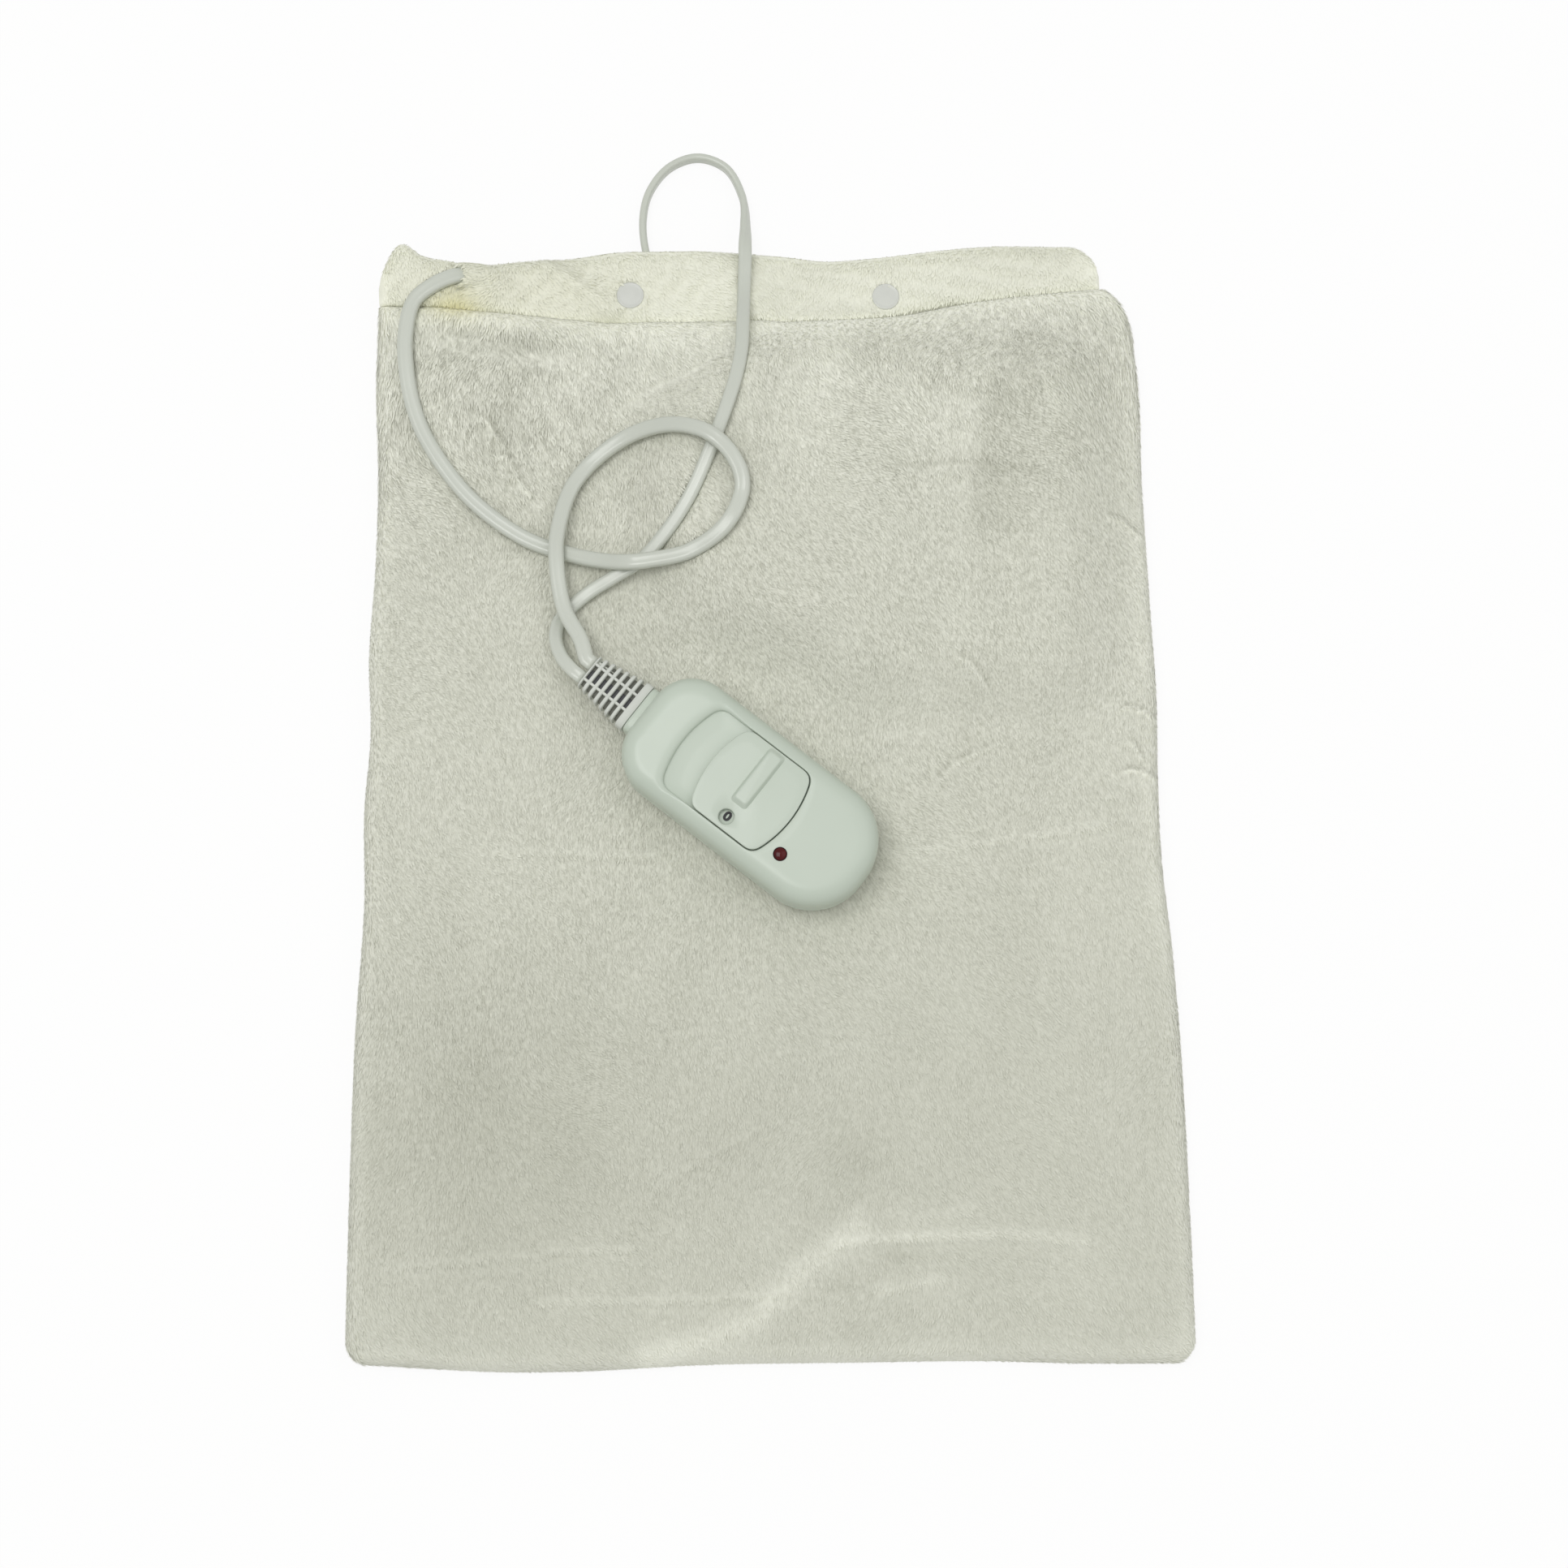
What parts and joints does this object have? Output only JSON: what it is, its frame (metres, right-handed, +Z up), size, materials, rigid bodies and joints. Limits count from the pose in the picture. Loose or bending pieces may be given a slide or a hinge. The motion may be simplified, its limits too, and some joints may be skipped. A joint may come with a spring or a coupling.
{
  "type": "heating pad with controller",
  "caption": "Electric heating pad in a plush bag cover, with a slide-switch hand controller lying on it, a flat pad cord, and a mains cord coiled under the pad with its plug.",
  "frame": {"origin": "centre of the cover's plan, on the surface that the pad lies on", "axes": "+X to the right across the pad as seen from above, +Y towards the mouth hem, +Z up out of the plush front"},
  "size_m": [0.3232, 0.4869, 0.0443],
  "materials": {
    "plush": "short cream pile",
    "hem_plush": "short pale cream pile",
    "liner": "plain weave",
    "felt": "needled felt",
    "snap_plastic": "cloudy, smooth",
    "wire_sheath": "smooth",
    "dark_plastic": "fine grain",
    "cord_pvc": "satin",
    "tie_black": "matt",
    "plug_pvc": "satin",
    "case_plastic": "satin gloss",
    "boot_rubber": "satin",
    "lens_red": "clear, polished",
    "lamp_glass": "clear",
    "board_green": "coated",
    "part_tan": "coated",
    "part_blue": "dipped",
    "spring_steel": "bright",
    "brass": "stamped",
    "nickel": "plated"
  },
  "bodies": {
    "root": {"cover_front_panel": "plush", "cover_back_panel": "plush", "cover_front_hem": "hem_plush", "cover_back_hem": "hem_plush", "snap_cap_front_left": "snap_plastic", "snap_cap_front_right": "snap_plastic", "snap_socket_left": "snap_plastic", "snap_socket_right": "snap_plastic", "snap_stud_left": "snap_plastic", "snap_stud_right": "snap_plastic", "snap_cap_back_left": "snap_plastic", "snap_cap_back_right": "snap_plastic", "pad_front_liner": "liner", "pad_front_felt": "felt", "heating_wire": "wire_sheath", "pad_thermostat_left": "dark_plastic", "pad_thermostat_right": "dark_plastic", "pad_back_felt": "felt", "pad_back_liner": "liner", "pad_junction_block": "dark_plastic", "pad_cord_inner": "cord_pvc", "pad_cord": "cord_pvc", "mains_cord_run": "cord_pvc", "mains_cord_coil": "cord_pvc", "mains_cord_tail": "cord_pvc", "coil_tie": "tie_black", "plug_body": "plug_pvc", "plug_pin_left": "nickel", "plug_pin_right": "nickel", "controller_top_shell": "case_plastic", "controller_bottom_shell": "case_plastic", "detent_spring": "spring_steel", "switch_base": "dark_plastic", "switch_contact_0": "brass", "switch_contact_1": "brass", "switch_contact_2": "brass", "switch_contact_3": "brass", "circuit_board": "board_green", "indicator_lens": "lens_red", "indicator_lamp": "lamp_glass", "series_resistor": "part_tan", "filter_capacitor": "part_blue", "thermal_fuse": "nickel", "mains_terminal": "dark_plastic", "pad_terminal": "dark_plastic", "cord_boot": "boot_rubber", "mains_cord_end": "cord_pvc", "pad_cord_end": "cord_pvc", "cord_clamp": "dark_plastic", "clamp_screw_1": "nickel", "clamp_screw_2": "nickel", "case_screw_1": "nickel", "case_screw_2": "nickel", "case_screw_3": "nickel", "case_screw_4": "nickel"},
    "slider": {"slider_button": "case_plastic", "slider_carriage": "dark_plastic", "slider_wiper": "brass"}
  },
  "joints": [
    {"name": "slider_slide", "type": "slide", "parent": "root", "child": "slider", "axis": [-0.7793, 0.6266, 0], "range_m": [0, 0.0132]}
  ]
}
